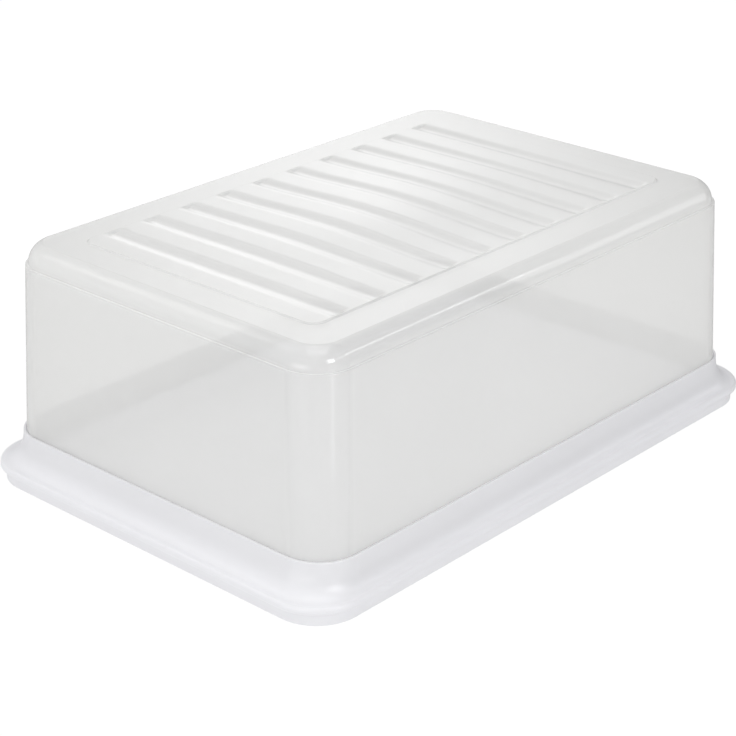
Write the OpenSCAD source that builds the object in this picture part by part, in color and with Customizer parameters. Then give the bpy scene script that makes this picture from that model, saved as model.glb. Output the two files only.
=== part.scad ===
// Food storage box: a deep translucent hood with a corrugated top, standing inside the rim of a tray.
// Millimetres, +Z up, +X along the long side, origin under the middle of the tray's foot.

/* [Hood] */
// Length of the hood's walls at the height of the tray's rim
hood_l = 369; // [300:1:440]
// Width of the hood's walls at the height of the tray's rim
hood_w = 248; // [210:1:320]
// Plan radius of the hood's upright corners
hood_r = 24; // [20:0.5:34]
// Height of the hood from its lower edge to its top face
hood_h = 131.7; // [90:0.1:180]
// Thickness of the hood's walls
hood_wall = 1.8; // [1.2:0.1:2.2]
// Thickness of the hood's top face and of its corrugated panel
hood_top = 2; // [1.4:0.1:2.8]
// Lean of the hood's walls, in degrees
wall_draft = 2.4; // [1:0.1:3]

/* [Hood shoulder] */
// Width of the small ledge between the wall and the shoulder
ledge_in = 1.6; // [0.6:0.1:3]
// Height of the shoulder
shoulder_h = 11.9; // [8:0.1:18]
// How far the shoulder draws in
shoulder_in = 8.7; // [5:0.1:10]
// Turn of the shoulder's curve, which ends at a crisp edge, in degrees
shoulder_turn = 70; // [50:1:85]

/* [Corrugated panel] */
// Length of the panel
panel_l = 302; // [270:1:310]
// Width of the panel, which is the length of its ribs
panel_w = 177; // [120:1:190]
// Plan radius of the panel's corners
panel_r = 8; // [4:0.5:9.5]
// Height of the ribs above the plain border
panel_raise = 0.8; // [0.3:0.1:1.6]
// Rise of the panel towards its middle
panel_crown = 3; // [0:0.5:6]
// Number of grooves between the ribs
groove_count = 10; // [4:1:11]
// Plain stretch of the panel past the outer grooves
groove_margin = 11.55; // [10:0.05:20]
// Width of each groove
groove_w = 17; // [6:0.5:20]
// Depth of each groove below the ribs
groove_d = 1.7; // [1:0.1:4]
// Length over which a groove runs out at each end
groove_run = 3; // [2:0.5:14]

/* [Tray] */
// Height of the tray's rim above the table
rim_top = 30.1; // [26:0.1:40]
// Thickness of the tray's rim
rim_wall = 1.5; // [1.1:0.1:1.8]
// How far the lip reaches past the hood's wall at the short sides
lip_out_l = 14.5; // [12:0.1:24]
// How far the lip reaches past the hood's wall at the long sides
lip_out_w = 12.1; // [11.5:0.1:24]
// Plan radius of the lip's corners
lip_r = 30; // [24:1:50]
// Thickness of the tray's walls and floor
tray_wall = 1.6; // [1.2:0.1:1.9]
// Height of the lip's upper side above the table
lip_top = 12; // [10:0.1:14]
// Height of the lip's outer edge
lip_edge = 4.2; // [3:0.1:5]
// Width of the lip's flat part, with its rounded edge
lip_flat = 2.8; // [2.4:0.1:4]
// Rounding of the lip's edge
lip_round = 2; // [1:0.1:2.2]
// Distance from the lip's edge in to the foot
foot_in = 3; // [2.2:0.1:4]

/* [Tray recess] */
// Height of the seat that the hood stands on
seat_z = 11.5; // [10:0.1:16]
// Width of the seat inside the hood's lower edge
seat_margin = 0.6; // [0.2:0.1:2]
// Gap under the tray's floor
floor_gap = 2; // [1:0.1:4]
// Radius between the recess's wall and its floor
floor_fillet = 6; // [3:0.5:7]
// Lean of the recess's wall, in degrees
recess_draft = 3; // [0:0.5:8]

/* [Fit] */
// Gap all round between the hood and the tray's rim
fit_gap = 0.4; // [0.2:0.1:0.6]

/* [Fineness] */
// Steps in each quarter turn of a corner
corner_steps = 8; // [4:1:10]
// Steps in each half of a groove
groove_steps = 4; // [2:1:5]

/* [Hidden] */

// Heights, all above the table
top_z = seat_z + hood_h;
kink_z = top_z - shoulder_h;
floor_top = floor_gap + tray_wall;
lip_under = lip_top - lip_edge;

// The panel laps over the edge of the window in the plain top by this much
panel_lap = hood_top;
// Distance from one groove to the next
groove_pitch = (panel_l - 2 * groove_margin - groove_w) / (groove_count - 1);
// Least plan radius that a corner is left with
least_r = hood_wall / 2;
// Rounding of the tray's rim
rim_round = rim_wall / 3;
// Shares of a groove's run at its ends, and of the stretch between the runs
run_shares = [0, 0.25, 0.5, 0.75, 1];
middle_shares = [-0.75, -0.5, -0.25, 0, 0.25, 0.5, 0.75];
// Shares of a quarter turn at which the cove's inner side has points
cove_inner_shares = [0.45, 0.62, 0.8];
// Shares of a quarter turn at which a smooth curve has points, and a small one
curve_shares = [0, 0.17, 0.33, 0.5, 0.67, 0.83, 1];
edge_shares = [0, 0.5, 1];

// A list from its last item to its first
function reversed(list) = [for (i = [len(list) - 1:-1:0]) list[i]];

// How far the hood's wall has leaned in at a height: it stands upright below the tray's rim
function lean(z) = (min(max(z, rim_top), kink_z) - rim_top) * tan(wall_draft);

// A section is a rounded rectangle: [half length, half width, corner radius, height]
// A section at a distance outside the hood's wall, which leans
function by_wall(out, z) =
    [hood_l / 2 - lean(z) + out, hood_w / 2 - lean(z) + out, hood_r + out, z];
// A section at a distance outside the place of the hood's wall at the tray's rim
function by_rim(out, z) = [hood_l / 2 + out, hood_w / 2 + out, hood_r + out, z];
// A section at a distance inside the lip's edge
function by_lip(in, z) =
    [hood_l / 2 + lip_out_l - in, hood_w / 2 + lip_out_w - in, lip_r - in, z];
// A section at a distance inside the panel's outline
function by_panel(in, z) = [panel_l / 2 - in, panel_w / 2 - in, panel_r - in, z];
// A section between two others, a share of the way in plan and a share of the way in height
function between(a, b, plan_share, height_share) =
    [for (i = [0:3]) a[i] + (b[i] - a[i]) * (i == 3 ? height_share : plan_share)];
// A section moved inwards and up
function moved(s, in, up) = [s[0] - in, s[1] - in, s[2] - in, s[3] + up];

// The points of one section, anticlockwise seen from above
function ring(s) = [
    for (q = [0:3], i = [0:corner_steps])
        let (r = max(s[2], least_r),
             a = 90 * (q + i / corner_steps),
             sx = q == 0 || q == 3 ? 1 : -1,
             sy = q < 2 ? 1 : -1)
        [sx * (s[0] - r) + r * cos(a), sy * (s[1] - r) + r * sin(a), s[3]]
];

// A skin through sections listed from the underside round the outside to the top.
// A closed one joins its last section to its first, and an open one is capped.
module loft(sections, closed = false) {
    n = 4 * (corner_steps + 1);
    m = len(sections);
    sides = [
        for (k = [0:closed ? m - 1 : m - 2], j = [0:n - 1])
            let (u = (k + 1) % m, v = (j + 1) % n)
            [k * n + j, u * n + j, u * n + v, k * n + v]
    ];
    caps = closed ? [] : [
        [for (j = [0:n - 1]) j],
        [for (j = [n - 1:-1:0]) (m - 1) * n + j]
    ];
    polyhedron(points = [for (s = sections) each ring(s)], faces = concat(sides, caps));
}

// A section of the shoulder: its share of the turn, and how far it lies inside the outer skin
function shoulder(turn_share, wall, top) =
    let (a = shoulder_turn * turn_share,
         in = shoulder_in * (1 - cos(a)) / (1 - cos(shoulder_turn)),
         up = shoulder_h * sin(a) / sin(shoulder_turn),
         drop = top * sin(a) / sin(shoulder_turn))
    by_wall(-ledge_in - in - wall * cos(a), kink_z + up - drop);

// The hood without its panel: walls, ledge, shoulder and plain border round a window
module hood_shell() {
    inner_z = kink_z - hood_wall;
    inner_low_z = inner_z - hood_wall;
    inner_side = [
        by_panel(panel_lap, top_z - hood_top),
        for (s = reversed(curve_shares)) shoulder(s, hood_wall, hood_top),
        by_wall(-ledge_in - hood_wall, inner_z),
        by_wall(-hood_wall, inner_low_z),
        by_wall(-hood_wall, rim_top),
        by_wall(-hood_wall, seat_z)
    ];
    outer_side = [
        by_wall(0, seat_z),
        by_wall(0, rim_top),
        by_wall(0, kink_z),
        for (s = curve_shares) shoulder(s, 0, 0),
        by_panel(panel_lap, top_z)
    ];
    loft(concat(inner_side, outer_side), closed = true);
}

// Columns of the panel's surface, from -X to +X: [x, half width there, share of a groove's depth]
function corner_columns(side) = [
    for (i = [0:corner_steps])
        let (a = 90 * (side < 0 ? i : corner_steps - i) / corner_steps)
        [side * (panel_l / 2 - panel_r + panel_r * cos(a)),
         panel_w / 2 - panel_r + panel_r * sin(a), 0]
];
function groove_columns() = [
    for (g = [0:groove_count - 1], k = [-groove_steps:groove_steps])
        let (middle = (g - (groove_count - 1) / 2) * groove_pitch)
        [middle + k / groove_steps * groove_w / 2, panel_w / 2,
         (1 + cos(180 * k / groove_steps)) / 2]
];

// Places across one column, from -Y to +Y: [y, share of a groove's depth]
function places(half) = let (plain = half - groove_run) [
    for (s = run_shares) [-half + groove_run * s, pow(sin(90 * s), 2)],
    for (s = middle_shares) [plain * s, 1],
    for (s = reversed(run_shares)) [half - groove_run * s, pow(sin(90 * s), 2)]
];

// Rise of the panel at a place, nothing at its outline
function crown(x, y) =
    panel_crown * pow(cos(90 * 2 * x / panel_l), 2) * pow(cos(90 * 2 * y / panel_w), 2);

// The corrugated panel: ribs with grooves between them, the same thickness everywhere
module rib_panel() {
    columns = concat(corner_columns(-1), groove_columns(), corner_columns(1));
    cols = len(columns);
    rows = len(places(panel_w / 2));
    upper = [
        for (c = columns, p = places(c[1]))
            [c[0], p[0], top_z + panel_raise + crown(c[0], p[0]) - groove_d * c[2] * p[1]]
    ];
    lower = [for (p = upper) p - [0, 0, hood_top]];
    n = len(upper);
    skin = [
        for (i = [0:cols - 2], j = [0:rows - 2])
            let (a = i * rows + j, b = a + rows)
            each [[a, a + 1, b + 1], [a, b + 1, b],
                  [n + a, n + b, n + b + 1], [n + a, n + b + 1, n + a + 1]]
    ];
    long_sides = [
        for (i = [0:cols - 2])
            let (a = i * rows, b = a + rows, c = b - 1, d = c + rows)
            each [[n + a, a, b, n + b], [n + d, d, c, n + c]]
    ];
    short_sides = [
        for (j = [0:rows - 2])
            let (a = (cols - 1) * rows + j)
            each [[n + j + 1, j + 1, j, n + j], [n + a, a, a + 1, n + a + 1]]
    ];
    polyhedron(points = concat(upper, lower), faces = concat(skin, long_sides, short_sides));
}

// The deep box, mouth down, as one moulding
module hood() {
    color([0.9, 0.92, 0.92, 0.5])
    union() {
        hood_shell();
        rib_panel();
    }
}

// A section of the cove between the rim and the lip, at a share of its quarter turn,
// with a wall's thickness taken off inwards
function cove(turn_share, wall) =
    let (a = 90 * turn_share,
         s = between(by_rim(fit_gap + rim_wall, rim_top - rim_round), by_lip(lip_flat, lip_top),
                     1 - cos(a), sin(a)))
    moved(s, wall * cos(a), -wall * sin(a));

// The shallow base, as one moulding that is open underneath
module tray() {
    seat_in = -hood_wall - seat_margin;
    fillet_z = floor_top + floor_fillet;
    fillet_out = seat_in - (seat_z - fillet_z) * tan(recess_draft);
    fillet_middle = fillet_out - floor_fillet;
    under_fillet = floor_fillet + tray_wall;
    under_seat = seat_z - tray_wall;
    hollow_top = cove(cove_inner_shares[0], tray_wall)[3];
    underside = [
        for (s = curve_shares)
            by_rim(fillet_middle + under_fillet * sin(90 * s), fillet_z - under_fillet * cos(90 * s)),
        by_rim(fillet_out + tray_wall, under_seat),
        by_rim(fit_gap + tray_wall, under_seat),
        by_rim(fit_gap + tray_wall, hollow_top),
        for (s = cove_inner_shares) cove(s, tray_wall),
        by_lip(foot_in + tray_wall, lip_top - tray_wall),
        by_lip(foot_in + tray_wall, 0)
    ];
    lip = [
        by_lip(foot_in, 0),
        by_lip(foot_in, lip_under),
        by_lip(lip_round / 4, lip_under),
        by_lip(0, lip_under + lip_round / 4),
        for (s = edge_shares)
            by_lip(lip_round * (1 - cos(90 * s)), lip_top - lip_round * (1 - sin(90 * s)))
    ];
    upper_side = [
        for (s = reversed(curve_shares)) cove(s, 0),
        by_rim(fit_gap + rim_wall - rim_round, rim_top),
        by_rim(fit_gap + rim_round, rim_top),
        by_rim(fit_gap, rim_top - rim_round),
        by_rim(fit_gap, seat_z),
        by_rim(seat_in, seat_z),
        for (s = curve_shares)
            by_rim(fillet_middle + floor_fillet * cos(90 * s), fillet_z - floor_fillet * sin(90 * s))
    ];
    color([0.88, 0.9, 0.91, 0.6])
    loft(concat(underside, lip, upper_side));
}

tray();
hood();
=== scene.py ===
import math

import bmesh
import bpy
from mathutils import Matrix, Vector


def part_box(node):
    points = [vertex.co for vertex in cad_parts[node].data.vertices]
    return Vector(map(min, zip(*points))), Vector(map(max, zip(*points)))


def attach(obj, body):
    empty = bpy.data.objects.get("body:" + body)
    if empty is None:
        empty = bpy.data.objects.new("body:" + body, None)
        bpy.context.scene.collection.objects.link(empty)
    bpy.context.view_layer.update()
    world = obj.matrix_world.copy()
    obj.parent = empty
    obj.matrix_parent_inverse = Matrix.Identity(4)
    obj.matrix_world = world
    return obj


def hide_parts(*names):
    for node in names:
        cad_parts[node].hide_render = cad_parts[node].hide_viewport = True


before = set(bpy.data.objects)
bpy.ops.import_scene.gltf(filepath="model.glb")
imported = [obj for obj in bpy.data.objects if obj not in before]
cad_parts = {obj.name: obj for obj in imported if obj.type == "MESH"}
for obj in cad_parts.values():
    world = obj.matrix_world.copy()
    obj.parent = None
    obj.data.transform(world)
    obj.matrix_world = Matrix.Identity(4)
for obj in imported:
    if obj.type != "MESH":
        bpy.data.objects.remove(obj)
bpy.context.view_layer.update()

MM = 0.001
QUARTER = math.radians(90)

# The CAD pieces' corners, which give the main sizes
HOOD_LOW, HOOD_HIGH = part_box("hood")
_, TRAY_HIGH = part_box("tray")

# Hood: walls that stand upright inside the tray's rim and lean in above it
WALL = 1.8 * MM
TOP = 2 * MM
WALL_DRAFT = math.radians(2.4)
WALL_BEND = 20 * MM
HOOD_R = 24 * MM

# Hood: the ledge and the round shoulder
LEDGE_IN = 1.6 * MM
SHOULDER_H = 11.9 * MM
SHOULDER_IN = 8.7 * MM
SHOULDER_TURN = math.radians(70)

# Corrugated panel. Its grooves are 0.4 mm shallower than the CAD's, whose far slopes came out too dark
PANEL_L = 302 * MM
PANEL_W = 177 * MM
PANEL_R = 8 * MM
PANEL_RAISE = 0.8 * MM
PANEL_CROWN = 3 * MM
PANEL_STEP = 1.2 * MM
GROOVE_COUNT = 10
GROOVE_MARGIN = 11.55 * MM
GROOVE_W = 17 * MM
GROOVE_D = 1.3 * MM
GROOVE_RUN = 3 * MM

# Tray
RIM_WALL = 1.5 * MM
TRAY_WALL = 1.6 * MM
LIP_R = 30 * MM
LIP_TOP = 12 * MM
LIP_EDGE = 4.2 * MM
LIP_FLAT = 2.8 * MM
LIP_ROUND = 2 * MM
FOOT_IN = 3 * MM
SEAT_MARGIN = 0.6 * MM
FLOOR_GAP = 2 * MM
FLOOR_FILLET = 6 * MM
RECESS_DRAFT = math.radians(3)
FIT_GAP = 0.4 * MM
COVE_DROP = RIM_WALL / 3

# Small roundings of the edges
EDGE = 0.5 * MM
LEDGE_EDGE = 1.4 * EDGE
LIP_UNDER_EDGE = 2 * EDGE
SEAT_EDGE = EDGE / 2
COVE_EDGE = EDGE / 4

# Support rows: their distance from a curve's end, the share of the way to the next corner that they may take,
# the least they stand past the end of a rounding, and how far the border's first row lies inside the shoulder
SUPPORT = 0.3 * MM
SUPPORT_SHARE = 0.48
SUPPORT_PAST = 1.05
BORDER_IN = 4 * SUPPORT

# Fineness, with the shares of the cove's turn at which its hollow underside has rows
SHOULDER_STEPS = 14
COVE_STEPS = 16
COVE_INNER = (0.45, 0.62, 0.8)
CORNER_STEPS = 20
SIDE_STEPS = 8
ARC_STEPS = 5
PANEL_COLUMNS = 260
PANEL_ROWS = 20
RUN_ROWS = 10
STEP_ROWS = 6

# Milky plastic
PLASTIC_IOR = 1.49
COAT_ROUGHNESS = 0.06
CLOUD_SCALE = 14
CLOUD_DETAIL = 3
GRAZING_START = 0.3

# Floor: its own shade, the level and the share of white that the camera sees, and the share that lights the box
FLOOR_SIZE = 20
FLOOR_SHADE = (0.72, 0.72, 0.72, 1)
FLOOR_ROUGHNESS = 0.15
FLOOR_WHITE = 1.07
FLOOR_SEEN = 0.9
FLOOR_GLOW = 0.6

# Soft studio surroundings: a level that falls from the left to the right, and a bright backdrop behind the box
# that its top face mirrors, each fading from its full level to none
LEFT_LEVEL = 0.9
RIGHT_LEVEL = 0.05
LEVEL_AXIS = (0.8, -0.6, 0)
BACKDROP = 1.55
BACKDROP_TURN = math.radians(43)
BACKDROP_SIDE = (0, 0.22)
BACKDROP_UP = (0.33, 0.58)

# Soft lamps, which all face the point under the middle of the box: (name, place, width, height, power)
LAMPS = (
    ("overhead", (-0.2, -0.15, 1.6), 1, 1, 6.2),
    ("left", (-1.1, -0.1, 0.16), 0.8, 0.28, 1.3),
    ("front", (-0.275, -0.9, 0.573), 0.27, 0.27, 2.1),
    ("near", (-0.2, -0.45, 0.15), 0.12, 0.12, 0.03),
    ("corner", (-0.198, -0.27, 0.06), 0.02, 0.1, 0.01),
    ("left_edge", (-0.455, 0.69, 1.05), 0.35, 0.8, 0.9),
    ("right_edge", (0.7, -0.85, 0.66), 0.45, 0.1, 0.6),
    ("right", (1.04, -0.72, 0.47), 0.5, 0.4, 0.8),
    ("right_strip", (0.16, -0.95, 0.62), 0.85, 0.07, 0.6),
)

# The photograph's view: its turn and tilt, the distance from a point on the box's axis, and the shift that
# brings the box to its place in the frame
VIEW_TURN = math.radians(-47.72)
VIEW_TILT = math.radians(24.41)
VIEW_POINT = (0, 0, 29.64 * MM)
VIEW_AWAY = 1.2205
VIEW_LEFT = 0.00903
VIEW_UP = 0.01175
SENSOR = 36
LENS = 99.29

# Sizes worked out from the CAD pieces
HALF_L = HOOD_HIGH.x
HALF_W = HOOD_HIGH.y
SEAT_Z = HOOD_LOW.z
RIM_TOP = TRAY_HIGH.z
TOP_Z = HOOD_HIGH.z - PANEL_RAISE - PANEL_CROWN
KINK_Z = TOP_Z - SHOULDER_H
GROOVE_PITCH = (PANEL_L - 2 * GROOVE_MARGIN - GROOVE_W) / (GROOVE_COUNT - 1)


def section(half_l, half_w, radius, z):
    """A rounded rectangle at a height."""
    return Vector((half_l, half_w, radius, z))


def by_wall(out, z):
    """A section at a distance outside the hood's wall at the tray's rim."""
    return section(HALF_L + out, HALF_W + out, HOOD_R + out, z)


def by_leaning_wall(out, z):
    """A section at a distance outside the hood's wall above the rim, where the corners keep their radius."""
    inward = (z - RIM_TOP) * math.tan(WALL_DRAFT)
    return section(HALF_L - inward + out, HALF_W - inward + out, HOOD_R + out, z)


def by_lip(inward, z):
    """A section at a distance inside the lip's edge."""
    return section(TRAY_HIGH.x - inward, TRAY_HIGH.y - inward, LIP_R - inward, z)


def smooth(share):
    """A share from 0 to 1 that starts and ends level."""
    return share * share * (3 - 2 * share)


def reach(step):
    """The length of a step between two sections in the plane of the profile."""
    return math.hypot(step[0], step[3])


def rounded(profile):
    """Sections along a profile of (section, radius) pairs, with each corner turned into an arc between supports."""
    found = [profile[0][0]]
    for (before, _), (corner, radius), (after, _) in zip(profile, profile[1:], profile[2:]):
        if radius == 0:
            found.append(corner)
            continue
        back, on = before - corner, after - corner
        room_back, room_on = SUPPORT_SHARE * reach(back), SUPPORT_SHARE * reach(on)
        back, on = back / reach(back), on / reach(on)
        cosine = -(back[0] * on[0] + back[3] * on[3])
        turn = math.acos(max(-1, min(1, cosine)))
        cut = radius * math.tan(turn / 2)
        room_back, room_on = max(room_back, SUPPORT_PAST * cut), max(room_on, SUPPORT_PAST * cut)
        found.append(corner + back * min(cut + SUPPORT, room_back))
        for i in range(ARC_STEPS + 1):
            a = turn * i / ARC_STEPS
            rise = radius * (1 - math.cos(a)) / math.sin(turn)
            found.append(corner + back * (cut - radius * math.sin(a) + rise * math.cos(turn)) + on * rise)
        found.append(corner + on * min(cut + SUPPORT, room_on))
    found.append(profile[-1][0])
    return found


def ring(s):
    """The points of one section, anticlockwise seen from above."""
    half_l, half_w, r, z = s
    points = []
    corners = ((1, 1), (-1, 1), (-1, -1), (1, -1))
    for q, (sx, sy) in enumerate(corners):
        middle = Vector((sx * (half_l - r), sy * (half_w - r), z))
        for i in range(CORNER_STEPS + 1):
            a = QUARTER * (q + i / CORNER_STEPS)
            points.append(middle + Vector((r * math.cos(a), r * math.sin(a), 0)))
        nx, ny = corners[(q + 1) % 4]
        a = QUARTER * (q + 1)
        end = Vector((nx * (half_l - r) + r * math.cos(a), ny * (half_w - r) + r * math.sin(a), z))
        start = points[-1]
        near = SUPPORT / (end - start).length
        shares = [near] + [i / SIDE_STEPS for i in range(1, SIDE_STEPS)] + [1 - near]
        points += [start.lerp(end, share) for share in shares]
    return points


def skin(bm, sections):
    """Faces through sections listed from the underside round the outside. Returns the end rings."""
    rings = [[bm.verts.new(p) for p in ring(s)] for s in sections]
    for low, high in zip(rings, rings[1:]):
        join(bm, low, high)
    return rings[0], rings[-1]


def join(bm, low, high):
    """A band of faces between two loops of as many points."""
    for j in range(len(low)):
        k = (j + 1) % len(low)
        bm.faces.new((low[j], low[k], high[k], high[j]))


def by_angle(loop):
    """A loop's vertices by their angle round the middle, and the angle at which the step from each one ends."""
    turned = sorted((math.atan2(v.co.y, v.co.x), i) for i, v in enumerate(loop))
    return [loop[i] for _, i in turned], [angle for angle, _ in turned[1:]] + [math.pi]


def zip_loops(bm, outer, inner):
    """A flat band of triangles between two loops that both go round the middle once."""
    a, a_ends = by_angle(outer)
    b, b_ends = by_angle(inner)
    i = j = 0
    while i < len(a) or j < len(b):
        p, q = a[i % len(a)], b[j % len(b)]
        if j == len(b) or (i < len(a) and a_ends[i] <= b_ends[j]):
            i += 1
            bm.faces.new((p, a[i % len(a)], q))
        else:
            j += 1
            bm.faces.new((p, b[j % len(b)], q))


def panel_columns():
    """Columns of the panel, from -X to +X: (x, half width there)."""
    core_l, core_w = PANEL_L / 2 - PANEL_R, PANEL_W / 2 - PANEL_R
    turns = [QUARTER * i / CORNER_STEPS for i in range(CORNER_STEPS)]
    corner = [(core_l + PANEL_R * math.cos(a), core_w + PANEL_R * math.sin(a)) for a in turns]
    plain = [(core_l * (2 * i / PANEL_COLUMNS - 1), PANEL_W / 2) for i in range(PANEL_COLUMNS + 1)]
    return [(-x, y) for x, y in corner] + plain + corner[::-1]


def panel_places(half):
    """Places across one column of the panel, from -Y to +Y, closer together where the grooves run out."""
    run = [half - GROOVE_RUN * i / RUN_ROWS for i in range(RUN_ROWS)]
    plain = half - GROOVE_RUN
    middle = [plain * (2 * i / PANEL_ROWS - 1) for i in range(PANEL_ROWS + 1)]
    return [-y for y in run] + middle + run[::-1]


def panel_height(x, y, half):
    """How far the panel stands above the plain border."""
    crown = PANEL_CROWN * (math.cos(math.pi * x / PANEL_L) * math.cos(math.pi * y / PANEL_W)) ** 2
    place = x / GROOVE_PITCH + (GROOVE_COUNT - 1) / 2
    nearest = min(max(round(place), 0), GROOVE_COUNT - 1)
    off = min(abs(place - nearest) * GROOVE_PITCH / (GROOVE_W / 2), 1)
    run = min((half - abs(y)) / GROOVE_RUN, 1)
    groove = GROOVE_D * (1 + math.cos(math.pi * off)) / 2 * math.sin(math.pi / 2 * run) ** 2
    return PANEL_RAISE + crown - groove


def panel_outline(columns):
    """The edge of a grid of vertices as one anticlockwise loop."""
    first, last = columns[0], columns[-1]
    near = [c[0] for c in columns]
    far = [c[-1] for c in columns]
    return near + last[1:-1] + far[::-1] + first[-2:0:-1]


def rib_panel(bm, base, border):
    """One face of the corrugated panel over a height, joined to the border's ring of vertices."""
    columns = [
        [bm.verts.new((x, y, base + panel_height(x, y, half))) for y in panel_places(half)]
        for x, half in panel_columns()
    ]
    for left, right in zip(columns, columns[1:]):
        for j in range(len(left) - 1):
            bm.faces.new((left[j], right[j], right[j + 1], left[j + 1]))
    core = Vector((PANEL_L / 2 - PANEL_R, PANEL_W / 2 - PANEL_R))
    loop = panel_outline(columns)
    outline = [v.co.copy() for v in loop]
    for row in range(1, STEP_ROWS + 2):
        share = min(row / STEP_ROWS, 1)
        out = PANEL_STEP * share + (SUPPORT if row > STEP_ROWS else 0)
        drop = PANEL_RAISE * smooth(share)
        wider = []
        for p in outline:
            held = Vector((max(-core.x, min(core.x, p.x)), max(-core.y, min(core.y, p.y))))
            away = (p.xy - held).normalized() * out
            wider.append(bm.verts.new((p.x + away.x, p.y + away.y, p.z - drop)))
        join(bm, wider, loop)
        loop = wider
    zip_loops(bm, border, loop)


def shoulder(share, wall, top):
    """A section of the shoulder, at a share of its turn, on the outer skin or a wall's thickness inside it."""
    a = SHOULDER_TURN * share
    inward = SHOULDER_IN * (1 - math.cos(a)) / (1 - math.cos(SHOULDER_TURN))
    up = (SHOULDER_H - top) * math.sin(a) / math.sin(SHOULDER_TURN)
    s = by_leaning_wall(-LEDGE_IN - inward - wall * math.cos(a), KINK_Z)
    return section(s[0], s[1], s[2], KINK_Z + up)


def border_edge(inward, z):
    """A section on the plain border, at a distance inside the shoulder's end."""
    s = by_leaning_wall(-LEDGE_IN - SHOULDER_IN - inward, KINK_Z)
    return section(s[0], s[1], s[2], z)


def hood_profile():
    """The hood's sections from its ceiling, down inside, round the lower edge and up outside to its border."""
    steps = [i / SHOULDER_STEPS for i in range(SHOULDER_STEPS + 1)]
    inner_z = KINK_Z - WALL
    inner_low_z = inner_z - WALL
    ledge = by_leaning_wall(-LEDGE_IN - WALL, KINK_Z)
    wall_turn = math.cos(SHOULDER_TURN) * WALL
    return rounded(
        [(border_edge(wall_turn + BORDER_IN, TOP_Z - TOP), 0)]
        + [(shoulder(s, WALL, TOP), EDGE if s == 1 else 0) for s in steps[:0:-1]]
        + [
            (section(ledge[0], ledge[1], ledge[2], inner_z), EDGE),
            (by_leaning_wall(-WALL, inner_low_z), EDGE),
            (by_leaning_wall(-WALL, RIM_TOP), WALL_BEND),
            (by_wall(-WALL, SEAT_Z), EDGE),
            (by_wall(0, SEAT_Z), EDGE),
            (by_leaning_wall(0, RIM_TOP), WALL_BEND),
            (by_leaning_wall(0, KINK_Z), LEDGE_EDGE),
            (by_leaning_wall(-LEDGE_IN, KINK_Z), LEDGE_EDGE),
        ]
        + [(shoulder(s, 0, 0), EDGE if s == 1 else 0) for s in steps[1:]]
        + [(border_edge(BORDER_IN, TOP_Z), 0)]
    )


def between(a, b, plan_share, height_share):
    """A section between two others, a share of the way in plan and a share of the way in height."""
    return section(*(a[i] + (b[i] - a[i]) * (height_share if i == 3 else plan_share) for i in range(4)))


def cove(share, wall):
    """A section of the cove between the rim and the lip, at a share of its quarter turn."""
    a = QUARTER * share
    start = by_wall(FIT_GAP + RIM_WALL, RIM_TOP - COVE_DROP)
    s = between(start, by_lip(LIP_FLAT, LIP_TOP), 1 - math.cos(a), math.sin(a))
    inward = wall * math.cos(a)
    return s - Vector((inward, inward, inward, wall * math.sin(a)))


def tray_profile():
    """The tray's sections from its underside, round the foot and the lip, over the rim and into the recess."""
    seat_in = -WALL - SEAT_MARGIN
    fillet_z = FLOOR_GAP + TRAY_WALL + FLOOR_FILLET
    fillet_out = seat_in - (SEAT_Z - fillet_z) * math.tan(RECESS_DRAFT)
    fillet_middle = fillet_out - FLOOR_FILLET
    under = FLOOR_FILLET + TRAY_WALL
    under_seat = SEAT_Z - TRAY_WALL
    lip_under = LIP_TOP - LIP_EDGE
    turns = [QUARTER * i / SHOULDER_STEPS for i in range(SHOULDER_STEPS + 1)]
    return rounded(
        [(by_wall(fillet_middle + under * math.sin(a), fillet_z - under * math.cos(a)), 0) for a in turns[:-1]]
        + [
            (by_wall(fillet_out + TRAY_WALL, under_seat), SEAT_EDGE),
            (by_wall(FIT_GAP + TRAY_WALL, under_seat), EDGE),
            (by_wall(FIT_GAP + TRAY_WALL, cove(COVE_INNER[0], TRAY_WALL)[3]), 0),
        ]
        + [(cove(share, TRAY_WALL), 0) for share in COVE_INNER]
        + [
            (by_lip(FOOT_IN + TRAY_WALL, LIP_TOP - TRAY_WALL), EDGE),
            (by_lip(FOOT_IN + TRAY_WALL, 0), EDGE),
            (by_lip(FOOT_IN, 0), EDGE),
            (by_lip(FOOT_IN, lip_under), EDGE),
            (by_lip(0, lip_under), LIP_UNDER_EDGE),
            (by_lip(0, LIP_TOP), LIP_ROUND),
        ]
        + [(cove(i / COVE_STEPS, 0), COVE_EDGE if i == COVE_STEPS else 0) for i in range(COVE_STEPS, 0, -1)]
        + [
            (by_wall(FIT_GAP + RIM_WALL, RIM_TOP), EDGE),
            (by_wall(FIT_GAP, RIM_TOP), EDGE),
            (by_wall(FIT_GAP, SEAT_Z), SEAT_EDGE),
            (by_wall(seat_in, SEAT_Z), EDGE),
        ]
        + [
            (by_wall(fillet_middle + FLOOR_FILLET * math.cos(a), fillet_z - FLOOR_FILLET * math.sin(a)), 0)
            for a in turns
        ]
    )


def add_piece(name, bm, material):
    """Turns a mesh under construction into a piece that stands for the CAD node of the same name."""
    bmesh.ops.recalc_face_normals(bm, faces=bm.faces)
    mesh = bpy.data.meshes.new(name)
    bm.to_mesh(mesh)
    bm.free()
    mesh.shade_smooth()
    mesh.materials.append(material)
    piece = bpy.data.objects.new(name + "_moulding", mesh)
    bpy.context.scene.collection.objects.link(piece)
    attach(piece, name)
    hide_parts(name)


def make_hood(material):
    """The deep hood as one closed skin."""
    bm = bmesh.new()
    ceiling, border = skin(bm, hood_profile())
    rib_panel(bm, TOP_Z, border)
    rib_panel(bm, TOP_Z - TOP, ceiling)
    add_piece("hood", bm, material)


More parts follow.
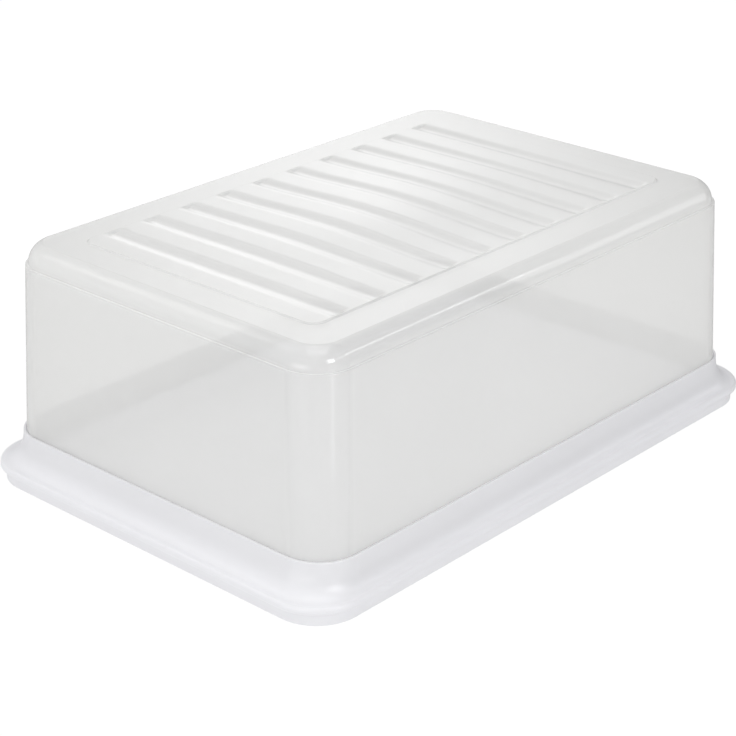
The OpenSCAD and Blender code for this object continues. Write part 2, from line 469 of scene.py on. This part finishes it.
def make_tray(material):
    """The shallow tray as one closed skin."""
    bm = bmesh.new()
    under, floor = skin(bm, tray_profile())
    bm.faces.new(under[::-1])
    bm.faces.new(floor)
    add_piece("tray", bm, material)


def new_material(name):
    """A material that nodes describe."""
    material = bpy.data.materials.new(name)
    material.use_nodes = True
    return material


def feed(tree, socket, value):
    """Sets a socket to a number, or links another node's output to it."""
    if isinstance(value, bpy.types.NodeSocket):
        tree.links.new(value, socket)
    else:
        socket.default_value = value


def calculate(tree, operation, first, second=0):
    """The result of a calculation with outputs or numbers."""
    node = tree.nodes.new("ShaderNodeMath")
    node.operation = operation
    feed(tree, node.inputs[0], first)
    feed(tree, node.inputs[1], second)
    return node.outputs[0]


def along(tree, direction, axis):
    """How far a direction points along an axis."""
    node = tree.nodes.new("ShaderNodeVectorMath")
    node.operation = "DOT_PRODUCT"
    node.inputs[1].default_value = axis
    tree.links.new(direction, node.inputs[0])
    return node.outputs["Value"]


def map_range(tree, value, start, end, low, high, curve="LINEAR"):
    """A value between start and end, carried over to the range from low to high."""
    node = tree.nodes.new("ShaderNodeMapRange")
    node.interpolation_type = curve
    node.inputs["From Min"].default_value = start
    node.inputs["From Max"].default_value = end
    node.inputs["To Min"].default_value = low
    node.inputs["To Max"].default_value = high
    tree.links.new(value, node.inputs["Value"])
    return node.outputs["Result"]


def mix_shaders(tree, share, first, second):
    """Two shaders, with a share of the second."""
    node = tree.nodes.new("ShaderNodeMixShader")
    feed(tree, node.inputs[0], share)
    tree.links.new(first, node.inputs[1])
    tree.links.new(second, node.inputs[2])
    return node.outputs[0]


def cloudy_tint(tree, clear, dense):
    """A colour that drifts between two tints through the plastic."""
    nodes, links = tree.nodes, tree.links
    place = nodes.new("ShaderNodeTexCoord")
    cloud = nodes.new("ShaderNodeTexNoise")
    cloud.inputs["Scale"].default_value = CLOUD_SCALE
    cloud.inputs["Detail"].default_value = CLOUD_DETAIL
    links.new(place.outputs["Object"], cloud.inputs["Vector"])
    tint = nodes.new("ShaderNodeMix")
    tint.data_type = "RGBA"
    tint.inputs["A"].default_value = (*clear, 1)
    tint.inputs["B"].default_value = (*dense, 1)
    links.new(cloud.outputs["Fac"], tint.inputs["Factor"])
    return tint.outputs["Result"]


def plastic(name, clear, dense, opacity, forward, roughness, coat):
    """Milky polypropylene: some light goes straight through, less at grazing angles, and the rest is scattered."""
    material = new_material(name)
    tree = material.node_tree
    nodes, links = tree.nodes, tree.links
    tint = cloudy_tint(tree, clear, dense)
    body = nodes["Principled BSDF"]
    links.new(tint, body.inputs["Base Color"])
    body.inputs["IOR"].default_value = PLASTIC_IOR
    body.inputs["Roughness"].default_value = roughness
    body.inputs["Specular IOR Level"].default_value = 1
    body.inputs["Coat Weight"].default_value = coat
    body.inputs["Coat Roughness"].default_value = COAT_ROUGHNESS
    glow = nodes.new("ShaderNodeBsdfTranslucent")
    links.new(tint, glow.inputs["Color"])
    milk = mix_shaders(tree, forward, body.outputs[0], glow.outputs[0])
    through = nodes.new("ShaderNodeBsdfTransparent")
    grazing = nodes.new("ShaderNodeLayerWeight")
    grazing.inputs["Blend"].default_value = 0.5
    density = map_range(tree, grazing.outputs["Facing"], GRAZING_START, 1, opacity, 1)
    whole = mix_shaders(tree, density, through.outputs[0], milk)
    links.new(whole, nodes["Material Output"].inputs["Surface"])
    return material


def white_floor():
    """A floor that the camera sees as white, apart from a soft shadow, and that glows softly at the box."""
    material = new_material("floor_white")
    tree = material.node_tree
    nodes, links = tree.nodes, tree.links
    paper = nodes["Principled BSDF"]
    paper.inputs["Base Color"].default_value = FLOOR_SHADE
    paper.inputs["Roughness"].default_value = FLOOR_ROUGHNESS
    glow = nodes.new("ShaderNodeEmission")
    glow.inputs["Strength"].default_value = FLOOR_WHITE
    path = nodes.new("ShaderNodeLightPath")
    bare = calculate(tree, "LESS_THAN", path.outputs["Transparent Depth"], 0.5)
    seen = calculate(tree, "MULTIPLY", path.outputs["Is Camera Ray"], bare)
    share = calculate(tree, "MULTIPLY", seen, FLOOR_SEEN)
    soft = calculate(tree, "SUBTRACT", FLOOR_GLOW, path.outputs["Is Glossy Ray"])
    most = calculate(tree, "MAXIMUM", share, soft)
    whole = mix_shaders(tree, most, paper.outputs[0], glow.outputs[0])
    links.new(whole, nodes["Material Output"].inputs["Surface"])
    return material


def add_floor():
    """A wide, level floor."""
    bm = bmesh.new()
    bmesh.ops.create_grid(bm, x_segments=1, y_segments=1, size=FLOOR_SIZE)
    mesh = bpy.data.meshes.new("floor")
    bm.to_mesh(mesh)
    bm.free()
    floor = bpy.data.objects.new("floor", mesh)
    bpy.context.scene.collection.objects.link(floor)
    mesh.materials.append(white_floor())


def add_surroundings():
    """White surroundings with a backdrop behind the box."""
    world = bpy.data.worlds.new("studio")
    bpy.context.scene.world = world
    world.use_nodes = True
    tree = world.node_tree
    nodes, links = tree.nodes, tree.links
    background = nodes["Background"]
    background.inputs["Color"].default_value = (1, 1, 1, 1)
    direction = nodes.new("ShaderNodeTexCoord").outputs["Generated"]
    axes = nodes.new("ShaderNodeSeparateXYZ")
    links.new(direction, axes.inputs[0])
    across = along(tree, direction, (-math.sin(BACKDROP_TURN), math.cos(BACKDROP_TURN), 0))
    aside = calculate(tree, "ABSOLUTE", across)
    level = calculate(tree, "GREATER_THAN", axes.outputs["Y"], 0)
    for value, (full, none) in ((aside, BACKDROP_SIDE), (axes.outputs["Z"], BACKDROP_UP)):
        fade = map_range(tree, value, full, none, 1, 0, "SMOOTHSTEP")
        level = calculate(tree, "MULTIPLY", level, fade)
    ambient = map_range(tree, along(tree, direction, LEVEL_AXIS), -1, 1, LEFT_LEVEL, RIGHT_LEVEL)
    strength = nodes.new("ShaderNodeMix")
    links.new(level, strength.inputs["Factor"])
    links.new(ambient, strength.inputs["A"])
    strength.inputs["B"].default_value = BACKDROP
    links.new(strength.outputs["Result"], background.inputs["Strength"])


def add_lamp(name, place, width, height, power):
    """A soft oblong lamp that faces the point under the middle of the box."""
    data = bpy.data.lights.new(name, "AREA")
    data.shape = "RECTANGLE"
    data.size = width
    data.size_y = height
    data.energy = power
    lamp = bpy.data.objects.new(name, data)
    bpy.context.scene.collection.objects.link(lamp)
    lamp.visible_camera = False
    lamp.location = place
    lamp.rotation_euler = (-Vector(place)).to_track_quat("-Z", "Y").to_euler()


def add_camera():
    """A long lens from in front of the near corner, looking down, as in the photograph."""
    level = math.cos(VIEW_TILT)
    right = Vector((math.cos(VIEW_TURN), math.sin(VIEW_TURN), 0))
    back = Vector((math.sin(VIEW_TURN) * level, -math.cos(VIEW_TURN) * level, math.sin(VIEW_TILT)))
    up = back.cross(right)
    place = Vector(VIEW_POINT) + VIEW_AWAY * back - VIEW_LEFT * right + VIEW_UP * up
    data = bpy.data.cameras.new("camera")
    data.sensor_width = SENSOR
    data.lens = LENS
    camera = bpy.data.objects.new("camera", data)
    bpy.context.scene.collection.objects.link(camera)
    camera.matrix_world = Matrix.Translation(place) @ Matrix((right, up, back)).transposed().to_4x4()
    bpy.context.scene.camera = camera


add_camera()
add_floor()
add_surroundings()
for lamp in LAMPS:
    add_lamp(*lamp)
make_hood(plastic(
    "hood_plastic",
    clear=(0.99, 0.99, 0.98),
    dense=(0.97, 0.97, 0.96),
    opacity=0.4,
    forward=0.3,
    roughness=0.1,
    coat=1,
))
make_tray(plastic(
    "tray_plastic",
    clear=(0.98, 0.98, 1),
    dense=(0.96, 0.96, 0.98),
    opacity=0.85,
    forward=0.25,
    roughness=0.35,
    coat=0,
))
bpy.context.scene.view_settings.view_transform = "Standard"
bpy.context.view_layer.update()


def plain(box):
    """A box as plain lists of numbers."""
    return [list(corner) for corner in box]
